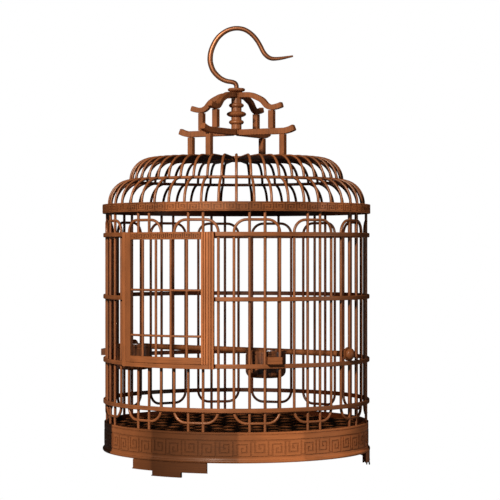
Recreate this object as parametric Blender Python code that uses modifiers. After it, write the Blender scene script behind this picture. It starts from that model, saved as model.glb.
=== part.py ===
"""A round bird cage of varnished wood, in metres with +Z up.

The origin is on the cage's axis at the surface that its feet stand on. An azimuth is in degrees
from the front (-Y) towards +X. Bars stand on a turned base ring and end in an eaves band, bent ribs
make the flat dome, and a crown on the dome holds a turned finial with a hook.
"""

import math

import bmesh
import bpy
from mathutils import Vector

# Fits
GAP = 0.0003
OVERRUN = 0.002

# Feet and base ring
FOOT_HEIGHT = 0.0178
FOOT_STEP = 0.006
FOOT_THICKNESS = 0.0047
FOOT_HALF_TURN = 17.9
FOOT_AZIMUTHS = {"front_left": -29.9, "right": 90.1, "back": 210.1}
FOOT_LINE_SHARES = (-1.0, -0.79, -0.585, -0.378, -0.126, 0.126, 0.378, 0.585, 0.79, 1.0)
FOOT_MIDDLE_SHARE = 0.38
BASE_R = 0.1642
BASE_HEIGHT = 0.0356
BASE_WALL = 0.0072
BEAD_PROUD = 0.002
BEAD_HEIGHT = 0.0032
LEDGE_WIDTH = 0.005
LEDGE_HEIGHT = 0.0037
LEDGE_DEPTH = 0.007
FLOOR_THICKNESS = 0.003

# Bars and hoops
PANEL_COUNT = 14
BARS_IN_PANEL = 4
FIRST_PANEL_AZIMUTH = 8.643
BAR_RADIUS = 0.0017
BAR_INSET = 0.0028
WALL_HEIGHT = 0.2566
LOOP_FOOT = 0.0099
LOOP_HEAD = 0.0098
LOOP_CORNER = 0.015
HOOP_HEIGHT = 0.0052
HOOP_THICKNESS = 0.00205
LOWER_HOOP_RISE = 0.0251
CUP_HOOP_RISE = 0.0763
MIDDLE_HOOP_RISE = 0.1542
UPPER_HOOP_DROP = 0.0267

# Eaves, dome and hub
EAVES_INSIDE = 0.0046
EAVES_OUTSIDE = 0.0051
EAVES_HEIGHT = 0.0112
RIB_COUNT = 48
RIB_RADIUS = 0.0017
LOWER_DOME_INSET = 0.0028
LOWER_DOME_REACH = 0.0276
LOWER_DOME_RISE = 0.0292
DOME_HOOP_OUTSIDE = 0.001
DOME_HOOP_RADIUS = 0.0019
UPPER_DOME_REACH = 0.0275
UPPER_DOME_RISE = 0.0275
HUB_R = 0.0295
HUB_THICKNESS = 0.005

# Crown, finial and hook
CROWN_AZIMUTHS = (60.0, 150.0, 240.0, 330.0)
CROWN_POST_SIDE = 0.0068
LOWER_POST_HEIGHT = 0.027
BEAM_TIP_R = 0.082
BEAM_OVERHANG = 0.0161
BEAM_HEIGHT = 0.0075
BEAM_WIDTH = 0.007
BEAM_TIP_LENGTH = 0.0138
BEAM_TIP_RISE = 0.004
UPPER_POST_SHARE = 0.757
UPPER_POST_HEIGHT = 0.022
ARM_SIDE = 0.0066
ARM_TIP_R = 0.065
ARM_LINE_SHARES = (
    (0.0, 1.0), (0.25, 0.976), (0.4, 0.8), (0.54, 0.541), (0.645, 0.153),
    (0.752, 0.0), (0.883, 0.047), (1.0, 0.17),
)
FINIAL_R = 0.0064
FINIAL_NECK_R = 0.0044
FINIAL_TOP_NECK_R = 0.0041
FINIAL_NECK_LENGTH = 0.0062
FINIAL_BODY_LENGTH = 0.0389
FINIAL_TOP_NECK_LENGTH = 0.0074
FINIAL_BEAD_SHARES = ((0.226, 0.49, 0.07), (0.485, 0.94, 0.1), (0.764, 0.49, 0.07))
FLANGE_R = 0.0109
FLANGE_HEIGHT = 0.0048
SHANK_BORE_DEPTH = 0.008
HOOK_WIRE_R = 0.0029
HOOK_RADIUS = 0.0338
HOOK_CENTRE_RISE = 0.0411
HOOK_BACK_SHARE = 0.2
HOOK_PATH_SHARES = (
    (-0.033, -1.13), (-0.08, -1.03), (-0.20, -0.98), (-0.38, -0.95), (-0.574, -0.87), (-0.748, -0.733),
    (-0.896, -0.548), (-0.985, -0.30), (-1.0, -0.074), (-0.959, 0.174), (-0.848, 0.444), (-0.70, 0.67),
    (-0.50, 0.844), (-0.278, 0.956), (-0.03, 1.0), (0.219, 0.967), (0.419, 0.867), (0.593, 0.719),
    (0.741, 0.533), (0.863, 0.322), (0.963, 0.122), (1.089, -0.026), (1.237, -0.111), (1.411, -0.126),
    (1.659, -0.10), (1.856, -0.063), (2.056, -0.026),
)
HOOK_TAPER_SHARES = (0.96, 0.84, 0.66, 0.38)

# Door and its frame
DOOR_AZIMUTH = -30.73
DOOR_HALF_TURN = 19.62
DOOR_THICKNESS = 0.0035
DOOR_RUN = 0.0007
DOOR_SIDE_GAP = 0.0005
POST_WIDTH = 0.0063
FRAME_THICKNESS = 0.0055
FRAME_HEAD = 0.0001
SILL_HEIGHT = 0.0051
STILE_WIDTH = 0.0083
TONGUE_LENGTH = 0.0017
TONGUE_THICKNESS = 0.0013
TONGUE_INSET = 0.0011
GROOVE_DEPTH = 0.0022
TOP_RAIL_HEIGHT = 0.0087
BOTTOM_RAIL_HEIGHT = 0.0077
GRILLE_BAR_R = 0.0016
GRILLE_CROSS_R = 0.0014
GRILLE_BAR_SHARES = (-0.507, -0.16, 0.196, 0.552)
GRILLE_CROSS_SHARES = (0.21, 0.558)

# Cups and perch
FEED_CUP_AZIMUTH = 15.071
WATER_CUP_AZIMUTH = -100.643
CUP_R = 0.0237
CUP_HEIGHT = 0.0318
CUP_WALL = 0.0025
CUP_CORNER = 0.008
CUP_OVER_HOOP = 0.0144
CUP_TO_BARS = 0.0033
CLIP_WIDTH = 0.012
CLIP_PLATE_WIDTH = 0.0177
CLIP_PLATE_THICKNESS = 0.0083
CLIP_HEIGHT = 0.0081
PERCH_AZIMUTH = 53.643
PERCH_R = 0.0036
PERCH_DISC_R = 0.0082
PERCH_DISC_THICKNESS = 0.002
PERCH_NECK_R = 0.0055
PERCH_NECK_LENGTH = 0.0002
PERCH_BALL_R = 0.007
PERCH_BALL_SHARE = 0.65
SPIGOT_R = 0.0018
SPIGOT_LENGTH = 0.008

# Places worked out from the sizes above
BASE_BOTTOM = FOOT_HEIGHT + GAP
BASE_TOP = BASE_BOTTOM + BASE_HEIGHT
BASE_INNER_R = BASE_R - BASE_WALL
BEAD_R = BASE_R + BEAD_PROUD
LEDGE_TOP = BASE_TOP - LEDGE_DEPTH
BAR_RING_R = BASE_R - BAR_INSET
BAR_STEP = 360 / (PANEL_COUNT * BARS_IN_PANEL)
EAVES_BOTTOM = BASE_TOP + WALL_HEIGHT
EAVES_TOP = EAVES_BOTTOM + EAVES_HEIGHT
EAVES_R = BAR_RING_R + EAVES_OUTSIDE
HOOP_INNER_R = BAR_RING_R + BAR_RADIUS + GAP
HOOP_R = HOOP_INNER_R + HOOP_THICKNESS
LOWER_HOOP_Z = BASE_TOP + LOWER_HOOP_RISE
CUP_HOOP_Z = BASE_TOP + CUP_HOOP_RISE
MIDDLE_HOOP_Z = BASE_TOP + MIDDLE_HOOP_RISE
UPPER_HOOP_Z = EAVES_BOTTOM - UPPER_HOOP_DROP
CUP_HOOP_TOP = CUP_HOOP_Z + HOOP_HEIGHT / 2
UPPER_HOOP_BOTTOM = UPPER_HOOP_Z - HOOP_HEIGHT / 2
LOWER_RIB_R = BAR_RING_R - LOWER_DOME_INSET
LOWER_RIB_Z = EAVES_TOP + GAP
DOME_SHOULDER_R = LOWER_RIB_R - LOWER_DOME_REACH
DOME_SHOULDER_Z = LOWER_RIB_Z + LOWER_DOME_RISE
DOME_HOOP_R = DOME_SHOULDER_R + DOME_HOOP_OUTSIDE
DOME_HOOP_Z = DOME_SHOULDER_Z
UPPER_RIB_R = DOME_HOOP_R - UPPER_DOME_REACH
DOME_TOP = DOME_HOOP_Z + UPPER_DOME_RISE
CROWN_FOOT = DOME_TOP + RIB_RADIUS + GAP
LOWER_POST_R = BEAM_TIP_R - BEAM_OVERHANG
BEAM_BOTTOM = CROWN_FOOT + LOWER_POST_HEIGHT + GAP
BEAM_TOP = BEAM_BOTTOM + BEAM_HEIGHT
ARM_START_R = FINIAL_TOP_NECK_R + GAP
UPPER_POST_R = ARM_START_R + (ARM_TIP_R - ARM_START_R) * UPPER_POST_SHARE
UPPER_POST_BOTTOM = BEAM_TOP + GAP
ARM_LOW_Z = UPPER_POST_BOTTOM + UPPER_POST_HEIGHT + GAP + ARM_SIDE / 2
FINIAL_BODY_BOTTOM = BEAM_TOP + GAP
FINIAL_BODY_TOP = FINIAL_BODY_BOTTOM + FINIAL_BODY_LENGTH
ARM_DROP = FINIAL_BODY_TOP + GAP + ARM_SIDE / 2 - ARM_LOW_Z
FLANGE_BOTTOM = FINIAL_BODY_TOP + FINIAL_TOP_NECK_LENGTH
FINIAL_TOP = FLANGE_BOTTOM + FLANGE_HEIGHT
SHANK_BORE_R = HOOK_WIRE_R + GAP
SHANK_BORE_BOTTOM = FINIAL_TOP - SHANK_BORE_DEPTH
FRAME_INNER_R = HOOP_R + GAP
FRAME_R = FRAME_INNER_R + FRAME_THICKNESS
FRAME_BOTTOM = CUP_HOOP_TOP - HOOP_HEIGHT - GAP
SILL_TOP = FRAME_BOTTOM + SILL_HEIGHT
FRAME_TOP = UPPER_HOOP_Z + HOOP_HEIGHT / 2 + FRAME_HEAD
DOOR_INNER_R = EAVES_R + DOOR_RUN
DOOR_R = DOOR_INNER_R + DOOR_THICKNESS
DOOR_BOTTOM = SILL_TOP + GAP
DOOR_TOP = FRAME_TOP - GAP
STILE_TURN = math.degrees(STILE_WIDTH / DOOR_INNER_R)
STILE_INNER_TURN = DOOR_HALF_TURN - STILE_TURN
GAP_TURN = math.degrees(GAP / DOOR_INNER_R)
POST_INNER_TURN = DOOR_HALF_TURN + math.degrees(DOOR_SIDE_GAP / DOOR_INNER_R)
POST_OUTER_TURN = POST_INNER_TURN + math.degrees(POST_WIDTH / DOOR_INNER_R)
RAIL_HALF_TURN = STILE_INNER_TURN - GAP_TURN
GRILLE_BOTTOM = DOOR_BOTTOM + BOTTOM_RAIL_HEIGHT + GAP
GRILLE_TOP = DOOR_TOP - TOP_RAIL_HEIGHT - GAP
CLIP_BOTTOM = CUP_HOOP_TOP + GAP
CUP_TOP = CUP_HOOP_TOP + CUP_OVER_HOOP
CUP_CENTRE_R = BAR_RING_R - BAR_RADIUS - CUP_TO_BARS - CUP_R
PERCH_Z = CUP_HOOP_TOP + GAP + PERCH_DISC_R
PERCH_END_R = BAR_RING_R + BAR_RADIUS + 2 * GAP
RING_SEGMENTS = PANEL_COUNT * BARS_IN_PANEL

for leftover in list(bpy.data.objects):
    bpy.data.objects.remove(leftover)
cage_parts = bpy.data.collections.new("bird_cage")
helpers = bpy.data.collections.new("cutters")
bpy.context.scene.collection.children.link(cage_parts)
bpy.context.scene.collection.children.link(helpers)


def material(name, colour, roughness, metallic=0.0):
    """A Principled material of one colour."""
    made = bpy.data.materials.new(name)
    made.use_nodes = True
    shader = made.node_tree.nodes["Principled BSDF"]
    shader.inputs["Base Color"].default_value = (*colour, 1.0)
    shader.inputs["Roughness"].default_value = roughness
    shader.inputs["Metallic"].default_value = metallic
    return made


WOOD = material("varnished_wood", (0.26, 0.073, 0.024), 0.38)
DARK_WOOD = material("dark_wood", (0.06, 0.02, 0.01), 0.5)
CUP_GLAZE = material("dark_glaze", (0.02, 0.012, 0.01), 0.25)
HOOK_METAL = material("bronzed_metal", (0.2, 0.09, 0.04), 0.35, 1.0)


def polar(radius, azimuth, z=0.0):
    """The point at a radius, an azimuth in degrees and a height."""
    turn = math.radians(azimuth)
    return Vector((radius * math.sin(turn), -radius * math.cos(turn), z))


def add_empty(name, place):
    """An empty on a joint's axis, which carries what moves there."""
    empty = bpy.data.objects.new(name, None)
    empty.location = place
    cage_parts.objects.link(empty)
    return empty


def add_part(name, mesh, finish, parent=None):
    """A named object of the cage, in world coordinates, under its parent."""
    part = bpy.data.objects.new(name, mesh)
    mesh.materials.clear()
    mesh.materials.append(finish)
    cage_parts.objects.link(part)
    if parent:
        part.parent = parent
        part.location = -parent.location
    return part


def add_helper(name, mesh):
    """A solid that is joined to or cut from a part, and isn't a part itself."""
    helper = bpy.data.objects.new(name, mesh)
    helper.hide_render = True
    helper.display_type = "WIRE"
    helpers.objects.link(helper)
    return helper


def combine(part, operation, other):
    """Joins a helper to a part, or cuts it out."""
    boolean = part.modifiers.new(other.name, "BOOLEAN")
    boolean.operation = operation
    boolean.object = other


def mesh_from_curve(curve):
    """The closed mesh of a curve, its caps welded on, and the curve removed."""
    source = bpy.data.objects.new("curve_source", curve)
    helpers.objects.link(source)
    bpy.context.view_layer.update()
    evaluated = source.evaluated_get(bpy.context.evaluated_depsgraph_get())
    mesh = bpy.data.meshes.new_from_object(evaluated)
    bpy.data.objects.remove(source)
    bpy.data.curves.remove(curve)
    shape = bmesh.new()
    shape.from_mesh(mesh)
    bmesh.ops.remove_doubles(shape, verts=shape.verts, dist=GAP / 100)
    shape.to_mesh(mesh)
    shape.free()
    return mesh


def tube_mesh(paths, radius, resolution, closed=False, radius_shares=None):
    """One round tube along each path of points."""
    curve = bpy.data.curves.new("tube_path", "CURVE")
    curve.dimensions = "3D"
    curve.bevel_depth = radius
    curve.bevel_resolution = resolution
    curve.use_fill_caps = True
    for path in paths:
        spline = curve.splines.new("POLY")
        spline.points.add(len(path) - 1)
        for index, place in enumerate(path):
            spline.points[index].co = (*place, 1.0)
            if radius_shares:
                spline.points[index].radius = radius_shares[index]
        spline.use_cyclic_u = closed
    return mesh_from_curve(curve)


def outline_mesh(outline, half_thickness):
    """A flat plate with the given outline in the XY plane."""
    curve = bpy.data.curves.new("outline", "CURVE")
    curve.dimensions = "2D"
    curve.fill_mode = "BOTH"
    curve.extrude = half_thickness
    spline = curve.splines.new("POLY")
    spline.points.add(len(outline) - 1)
    for point, place in zip(spline.points, outline):
        point.co = (place[0], place[1], 0.0, 1.0)
    spline.use_cyclic_u = True
    return mesh_from_curve(curve)


def upright_mesh(plan, bottom, top):
    """A plan outline in the XY plane, made as tall as the space from bottom to top."""
    mesh = outline_mesh(plan, (top - bottom) / 2)
    for vertex in mesh.vertices:
        vertex.co.z += (bottom + top) / 2
    return mesh


def side_mesh(outline, width, azimuth):
    """An outline of (radius, height) points, standing on a radial plane and as thick as the width."""
    mesh = outline_mesh(outline, width / 2)
    for vertex in mesh.vertices:
        radius, height, across = vertex.co
        vertex.co = polar(radius, azimuth, height) - polar(across, azimuth + 90)
    return mesh


def arc(radius, start, end, steps):
    """Points of an arc about the cage's axis, in plan."""
    return [polar(radius, start + (end - start) * step / steps) for step in range(steps + 1)]


def curved_plan(inner, outer, start, end, steps):
    """The plan outline of a band that is curved about the cage's axis."""
    return arc(outer, start, end, steps) + arc(inner, end, start, steps)


def add_turned(name, profile, finish, segments, closed=False, parent=None):
    """A solid of revolution about its own Z axis, from a (radius, height) profile."""
    mesh = bpy.data.meshes.new(name)
    count = len(profile)
    edges = [(index, index + 1) for index in range(count - 1)]
    if closed:
        edges.append((count - 1, 0))
    mesh.from_pydata([(radius, 0.0, height) for radius, height in profile], edges, [])
    part = add_part(name, mesh, finish, parent)
    screw = part.modifiers.new("turning", "SCREW")
    screw.steps = segments
    screw.render_steps = segments
    screw.use_merge_vertices = True
    screw.merge_threshold = GAP / 10
    screw.use_smooth_shade = True
    return part


def add_ring(name, inner, outer, bottom, top):
    """A flat hoop or band round the cage's axis."""
    profile = [(outer, top), (outer, bottom), (inner, bottom), (inner, top)]
    return add_turned(name, profile, WOOD, RING_SEGMENTS, closed=True)


def add_foot(name, azimuth):
    """A curved foot under the base ring, its middle reaching down to the ground."""
    lines = [azimuth + FOOT_HALF_TURN * share for share in FOOT_LINE_SHARES]
    shape = bmesh.new()
    bmesh.ops.create_cube(shape, size=1.0)
    long_edges = [edge for edge in shape.edges if abs(edge.verts[0].co.x - edge.verts[1].co.x) > 0.5]
    bmesh.ops.subdivide_edges(shape, edges=long_edges, cuts=len(lines) - 2, use_grid_fill=True)
    for vertex in shape.verts:
        line = lines[round((vertex.co.x + 0.5) * (len(lines) - 1))]
        radius = BEAD_R if vertex.co.y < 0 else BEAD_R - FOOT_THICKNESS
        vertex.co = polar(radius, line, FOOT_HEIGHT if vertex.co.z > 0 else FOOT_STEP)
    shape.normal_update()
    middle = [face for face in shape.faces if under_middle(face, azimuth)]
    made = bmesh.ops.extrude_face_region(shape, geom=middle)
    for item in made["geom"]:
        if isinstance(item, bmesh.types.BMVert):
            item.co.z = 0.0
    bmesh.ops.delete(shape, geom=middle, context="FACES_ONLY")
    bmesh.ops.recalc_face_normals(shape, faces=shape.faces)
    mesh = bpy.data.meshes.new(name)
    shape.to_mesh(mesh)
    shape.free()
    add_part(name, mesh, WOOD)


def under_middle(face, azimuth):
    """Whether a face is an underside in the middle of the foot at the azimuth."""
    centre = face.calc_center_median()
    flat = max(vertex.co.z for vertex in face.verts) - min(vertex.co.z for vertex in face.verts) < GAP
    low = centre.z < (FOOT_STEP + FOOT_HEIGHT) / 2
    towards = polar(1.0, azimuth).dot(Vector((centre.x, centre.y, 0.0)).normalized())
    return flat and low and towards > math.cos(math.radians(FOOT_HALF_TURN * FOOT_MIDDLE_SHARE))


def add_base_ring():
    """The deep ring that all stands on, with a bead at its foot and a ledge for the floor."""
    ledge_bottom = LEDGE_TOP - LEDGE_HEIGHT
    ledge_r = BASE_INNER_R - LEDGE_WIDTH
    bead_top = BASE_BOTTOM + BEAD_HEIGHT
    profile = [
        (BASE_R, BASE_TOP), (BASE_R, bead_top), (BEAD_R, bead_top), (BEAD_R, BASE_BOTTOM),
        (BASE_INNER_R, BASE_BOTTOM), (BASE_INNER_R, ledge_bottom), (ledge_r, ledge_bottom),
        (ledge_r, LEDGE_TOP), (BASE_INNER_R, LEDGE_TOP), (BASE_INNER_R, BASE_TOP),
    ]
    add_turned("base_ring", profile, WOOD, RING_SEGMENTS, closed=True)


def add_floor_board():
    """The round floor, lying on the ledge."""
    bottom = LEDGE_TOP + GAP
    top = bottom + FLOOR_THICKNESS
    edge = BASE_INNER_R - GAP
    profile = [(0.0, top), (edge, top), (edge, bottom), (0.0, bottom)]
    add_turned("floor_board", profile, DARK_WOOD, RING_SEGMENTS)


def loop_path(azimuth):
    """The bent loop of a panel: two bars and the rounded ends that join them, top and bottom."""
    half_turn = BAR_STEP * (BARS_IN_PANEL - 1) / 2
    corner_turn = math.degrees(LOOP_CORNER / BAR_RING_R)
    bottom = BASE_TOP + LOOP_FOOT
    top = EAVES_BOTTOM - LOOP_HEAD
    path = []
    for side, end, inward in ((1, top, -1), (-1, bottom, 1)):
        for step in range(3):
            bend = math.radians(45 * step)
            turn = side * (half_turn - corner_turn * (1 - math.cos(bend)))
            path.append(polar(BAR_RING_R, azimuth + turn, end + inward * LOOP_CORNER * (1 - math.sin(bend))))
        path.append(polar(BAR_RING_R, azimuth, end))
        for step in (2, 1, 0):
            bend = math.radians(45 * step)
            turn = -side * (half_turn - corner_turn * (1 - math.cos(bend)))
            path.append(polar(BAR_RING_R, azimuth + turn, end + inward * LOOP_CORNER * (1 - math.sin(bend))))
    return path


def door_cutter():
    """The space behind the door, where the bars are cut away between two hoops."""
    half_turn = STILE_INNER_TURN + BAR_STEP / 2
    plan = curved_plan(
        BAR_RING_R - BAR_RADIUS - OVERRUN, BAR_RING_R + BAR_RADIUS + OVERRUN,
        DOOR_AZIMUTH - half_turn, DOOR_AZIMUTH + half_turn, BARS_IN_PANEL * 2,
    )
    return add_helper("door_opening", upright_mesh(plan, CUP_HOOP_TOP, UPPER_HOOP_BOTTOM))


def add_panels():
    """The bars, four to a panel: a bent loop and two straight bars through it."""
    cutter = door_cutter()
    for index in range(PANEL_COUNT):
        azimuth = (FIRST_PANEL_AZIMUTH + index * 360 / PANEL_COUNT + 180) % 360 - 180
        name = f"grille_panel_{index + 1:02d}"
        panel = add_part(name, tube_mesh([loop_path(azimuth)], BAR_RADIUS, 1, closed=True), WOOD)
        bars = []
        for side in (-1, 1):
            line = azimuth + side * BAR_STEP / 2
            low = polar(BAR_RING_R, line, BASE_TOP + GAP)
            bars.append([low, polar(BAR_RING_R, line, EAVES_BOTTOM - GAP)])
        combine(panel, "UNION", add_helper(f"{name}_bars", tube_mesh(bars, BAR_RADIUS, 1)))
        if abs(azimuth - DOOR_AZIMUTH) < DOOR_HALF_TURN:
            combine(panel, "DIFFERENCE", cutter)


def add_hoops():
    """The flat hoops round the outside of the bars. The middle one is open behind the door."""
    heights = {"lower_hoop": LOWER_HOOP_Z, "cup_hoop": CUP_HOOP_Z, "upper_hoop": UPPER_HOOP_Z}
    for name, height in heights.items():
        add_ring(name, HOOP_INNER_R, HOOP_R, height - HOOP_HEIGHT / 2, height + HOOP_HEIGHT / 2)
    half_turn = (POST_INNER_TURN + POST_OUTER_TURN) / 2
    plan = curved_plan(HOOP_INNER_R, HOOP_R, DOOR_AZIMUTH + half_turn, DOOR_AZIMUTH + 360 - half_turn, 50)
    bottom = MIDDLE_HOOP_Z - HOOP_HEIGHT / 2
    add_part("middle_hoop", upright_mesh(plan, bottom, bottom + HOOP_HEIGHT), WOOD)


def add_eaves_band():
    """The band that the bars end in and the dome stands on."""
    add_ring("eaves_band", BAR_RING_R - EAVES_INSIDE, EAVES_R, EAVES_BOTTOM, EAVES_TOP)


def quarter_points(centre_r, centre_z, reach, rise, start, steps):
    """(radius, height) points of a quarter ellipse, from an angle above its outer end to its top."""
    points = []
    for step in range(steps + 1):
        bend = math.radians(start + (90 - start) * step / steps)
        points.append((centre_r + reach * math.cos(bend), centre_z + rise * math.sin(bend)))
    return points


def rib_paths(section):
    """The same rib at every place round the dome."""
    azimuths = [index * 360 / RIB_COUNT for index in range(RIB_COUNT)]
    return [[polar(radius, azimuth, height) for radius, height in section] for azimuth in azimuths]


def add_dome():
    """Lower ribs on the eaves with the hoop that they end on, and upper ribs with their hub."""
    lower = quarter_points(DOME_SHOULDER_R, LOWER_RIB_Z, LOWER_DOME_REACH, LOWER_DOME_RISE, 0, 4)
    ribs = add_part("dome_lower_ribs", tube_mesh(rib_paths(lower), RIB_RADIUS, 0), WOOD)
    half_step = 180 / RIB_COUNT
    hoop = [polar(DOME_HOOP_R, half_step * (2 * index + 1), DOME_HOOP_Z) for index in range(RIB_COUNT)]
    hoop_tube = tube_mesh([hoop], DOME_HOOP_RADIUS, 1, closed=True)
    combine(ribs, "UNION", add_helper("dome_hoop", hoop_tube))
    start_rise = DOME_HOOP_RADIUS + GAP + RIB_RADIUS / 4
    start = math.degrees(math.asin(start_rise / UPPER_DOME_RISE))
    upper = quarter_points(UPPER_RIB_R, DOME_HOOP_Z, UPPER_DOME_REACH, UPPER_DOME_RISE, start, 4)
    upper.append((HUB_R - OVERRUN, DOME_TOP))
    top_ribs = add_part("dome_upper_ribs", tube_mesh(rib_paths(upper), RIB_RADIUS, 0), WOOD)
    shape = bmesh.new()
    bmesh.ops.create_cone(
        shape, cap_ends=True, segments=RIB_COUNT, radius1=HUB_R, radius2=HUB_R, depth=HUB_THICKNESS
    )
    hub = bpy.data.meshes.new("hub")
    shape.to_mesh(hub)
    shape.free()
    for vertex in hub.vertices:
        vertex.co.z += DOME_TOP
    combine(top_ribs, "UNION", add_helper("hub", hub))


def square_post(radius, azimuth, bottom, top):
    """An upright square post, one side facing the axis."""
    half = CROWN_POST_SIDE / 2
    outline = [(radius - half, bottom), (radius + half, bottom), (radius + half, top), (radius - half, top)]
    return side_mesh(outline, CROWN_POST_SIDE, azimuth)


def beam_outline():
    """A lower beam from the finial outwards, its tip turned up."""
    inner = FINIAL_NECK_R + GAP
    bend = BEAM_TIP_R - BEAM_TIP_LENGTH
    middle = (bend + BEAM_TIP_R) / 2
    curl = BEAM_TIP_RISE / 4
    return [
        (inner, BEAM_BOTTOM), (bend, BEAM_BOTTOM), (middle, BEAM_BOTTOM + curl),
        (BEAM_TIP_R, BEAM_BOTTOM + BEAM_TIP_RISE), (BEAM_TIP_R, BEAM_TOP + BEAM_TIP_RISE),
        (middle, BEAM_TOP + curl), (bend, BEAM_TOP), (inner, BEAM_TOP),
    ]


def arm_outline():
    """An upper arm: level at the finial, down to the upper post, and up again at its tip."""
    line = [
        Vector((ARM_START_R + (ARM_TIP_R - ARM_START_R) * along, ARM_LOW_Z + ARM_DROP * up))
        for along, up in ARM_LINE_SHARES
    ]
    above, below = [], []
    for index, place in enumerate(line):
        ahead = line[min(index + 1, len(line) - 1)] - line[max(index - 1, 0)]
        square = Vector((-ahead.y, ahead.x)).normalized() * ARM_SIDE / 2
        if index == 0:
            square = Vector((0.0, ARM_SIDE / 2))
        above.append(place + square)
        below.append(place - square)
    return above + below[::-1]


def add_crown():
    """The open crown: posts on the dome, beams, upper posts and arms, four of each."""
    for index, azimuth in enumerate(CROWN_AZIMUTHS, 1):
        lower_post = square_post(LOWER_POST_R, azimuth, CROWN_FOOT, BEAM_BOTTOM - GAP)
        add_part(f"crown_post_lower_{index}", lower_post, WOOD)
        add_part(f"crown_beam_{index}", side_mesh(beam_outline(), BEAM_WIDTH, azimuth), WOOD)
        upper_post = square_post(UPPER_POST_R, azimuth, UPPER_POST_BOTTOM, ARM_LOW_Z - ARM_SIDE / 2 - GAP)
        add_part(f"crown_post_upper_{index}", upper_post, WOOD)
        add_part(f"crown_arm_{index}", side_mesh(arm_outline(), ARM_SIDE, azimuth), WOOD)


def add_finial():
    """The turned finial through the crown, with a blind bore for the hook's shank."""
    profile = [
        (0.0, SHANK_BORE_BOTTOM), (SHANK_BORE_R, SHANK_BORE_BOTTOM), (SHANK_BORE_R, FINIAL_TOP),
        (FLANGE_R, FINIAL_TOP), (FLANGE_R, FLANGE_BOTTOM), (FINIAL_TOP_NECK_R, FLANGE_BOTTOM),
        (FINIAL_TOP_NECK_R, FINIAL_BODY_TOP), (FINIAL_R, FINIAL_BODY_TOP),
    ]
    for place, proud, spread in reversed(FINIAL_BEAD_SHARES):
        middle = FINIAL_BODY_BOTTOM + FINIAL_BODY_LENGTH * place
        for side in (1, 0, -1):
            radius = FINIAL_R * (1 + proud) if side == 0 else FINIAL_R
            profile.append((radius, middle + side * FINIAL_BODY_LENGTH * spread))
    profile += [
        (FINIAL_R, FINIAL_BODY_BOTTOM), (FINIAL_NECK_R, FINIAL_BODY_BOTTOM),
        (FINIAL_NECK_R, FINIAL_BODY_BOTTOM - FINIAL_NECK_LENGTH),
        (0.0, FINIAL_BODY_BOTTOM - FINIAL_NECK_LENGTH),
    ]
    add_turned("finial", profile, WOOD, 16)


def add_hook():
    """The wire hook: its shank stands in the finial, its back swells and its end comes to a point."""
    pivot = add_empty("hook_pivot", (0.0, 0.0, SHANK_BORE_BOTTOM))
    centre_z = FINIAL_TOP + HOOK_CENTRE_RISE
    offset = -HOOK_RADIUS * HOOK_PATH_SHARES[0][0]
    path = [(0.0, 0.0, SHANK_BORE_BOTTOM + GAP)]
    shares = [1.0]
    for across, up in HOOK_PATH_SHARES:
        path.append((offset + HOOK_RADIUS * across, 0.0, centre_z + HOOK_RADIUS * up))
        shares.append(1.0 - HOOK_BACK_SHARE * across * abs(across) if across < 0 else 1.0)
    shares[-len(HOOK_TAPER_SHARES):] = HOOK_TAPER_SHARES
    add_part("hook", tube_mesh([path], HOOK_WIRE_R, 2, radius_shares=shares), HOOK_METAL, pivot)


def add_door_frame():
    """The grooved posts that the door slides in, and the sill that it stands on."""
    groove_inner = DOOR_INNER_R + TONGUE_INSET - GAP
    groove_outer = groove_inner + TONGUE_THICKNESS + 2 * GAP
    groove_turn = POST_INNER_TURN + math.degrees(GROOVE_DEPTH / DOOR_INNER_R)
    for name, side in (("door_post_left", -1), ("door_post_right", 1)):
        near, deep, far = (
            DOOR_AZIMUTH + side * turn for turn in (POST_INNER_TURN, groove_turn, POST_OUTER_TURN)
        )
        plan = [
            polar(FRAME_R, near), polar(FRAME_R, far), polar(FRAME_INNER_R, far), polar(FRAME_INNER_R, near),
            polar(groove_inner, near), polar(groove_inner, deep), polar(groove_outer, deep),
            polar(groove_outer, near),
        ]
        add_part(name, upright_mesh(plan, FRAME_BOTTOM, FRAME_TOP), WOOD)
    half_turn = POST_INNER_TURN - GAP_TURN
    sill = curved_plan(FRAME_INNER_R, FRAME_R, DOOR_AZIMUTH - half_turn, DOOR_AZIMUTH + half_turn, 8)
    add_part("door_sill", upright_mesh(sill, FRAME_BOTTOM, SILL_TOP), WOOD)


def add_door():
    """The door, curved as the cage is, with a tongue down each stile. It slides up."""
    slide = add_empty("door_slide", polar(DOOR_INNER_R, DOOR_AZIMUTH, DOOR_BOTTOM))
    tongue_inner = DOOR_INNER_R + TONGUE_INSET
    tongue_outer = tongue_inner + TONGUE_THICKNESS
    tongue_turn = DOOR_HALF_TURN + math.degrees(TONGUE_LENGTH / DOOR_INNER_R)
    for name, side in (("door_stile_left", -1), ("door_stile_right", 1)):
        near, far, tip = (
            DOOR_AZIMUTH + side * turn for turn in (STILE_INNER_TURN, DOOR_HALF_TURN, tongue_turn)
        )
        plan = [
            polar(DOOR_R, near), polar(DOOR_R, far), polar(tongue_outer, far), polar(tongue_outer, tip),
            polar(tongue_inner, tip), polar(tongue_inner, far), polar(DOOR_INNER_R, far),
            polar(DOOR_INNER_R, near),
        ]
        add_part(name, upright_mesh(plan, DOOR_BOTTOM, DOOR_TOP), WOOD, slide)
    rail = curved_plan(
        DOOR_INNER_R, DOOR_R, DOOR_AZIMUTH - RAIL_HALF_TURN, DOOR_AZIMUTH + RAIL_HALF_TURN, 8
    )
    add_part("door_top_rail", upright_mesh(rail, DOOR_TOP - TOP_RAIL_HEIGHT, DOOR_TOP), WOOD, slide)
    bottom_top = DOOR_BOTTOM + BOTTOM_RAIL_HEIGHT
    add_part("door_bottom_rail", upright_mesh(rail, DOOR_BOTTOM, bottom_top), WOOD, slide)
    add_door_grille(slide)


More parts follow.
